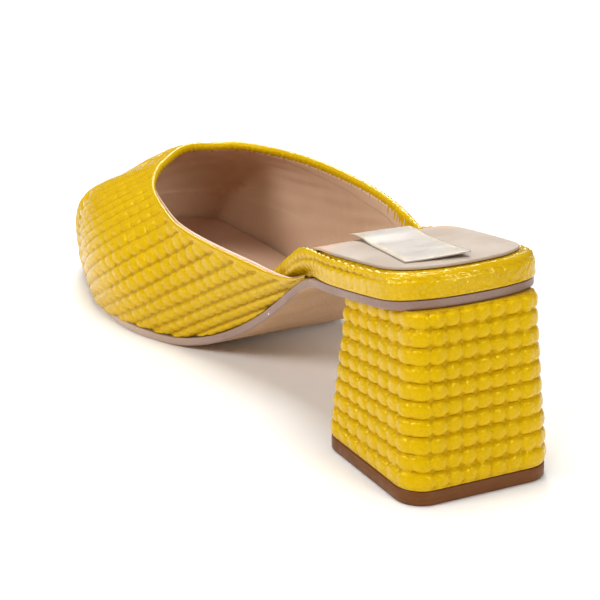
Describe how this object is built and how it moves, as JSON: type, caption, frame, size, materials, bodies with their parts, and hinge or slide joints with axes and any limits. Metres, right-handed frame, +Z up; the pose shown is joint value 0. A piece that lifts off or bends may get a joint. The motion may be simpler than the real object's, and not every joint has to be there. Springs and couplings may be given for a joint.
{
  "type": "block heel mule",
  "caption": "Backless closed-toe mule for the right foot, with a ribbed vamp, a thin sole and a flared block heel.",
  "frame": {"origin": "middle of the heel's ground face, on the floor plane", "axes": "+Y from the heel to the toe, +X to the wearer's right (the shoe's outer side), +Z up"},
  "size_m": [0.0869, 0.2545, 0.0747],
  "materials": {
    "upper": "glossy yellow, embossed with a woven effect",
    "footbed": "glossy yellow wrap, embossed with a woven effect",
    "heel_block": "glossy yellow covering, embossed with a woven effect",
    "outsole": "matte mauve-brown edge",
    "sock": "matte beige lining",
    "label": "cream satin, bare",
    "top_piece": "matte brown"
  },
  "bodies": {
    "root": {"outsole": "outsole", "footbed": "footbed", "sock": "sock", "label": "label", "upper": "upper", "heel_block": "heel_block", "top_piece": "top_piece"}
  },
  "joints": []
}
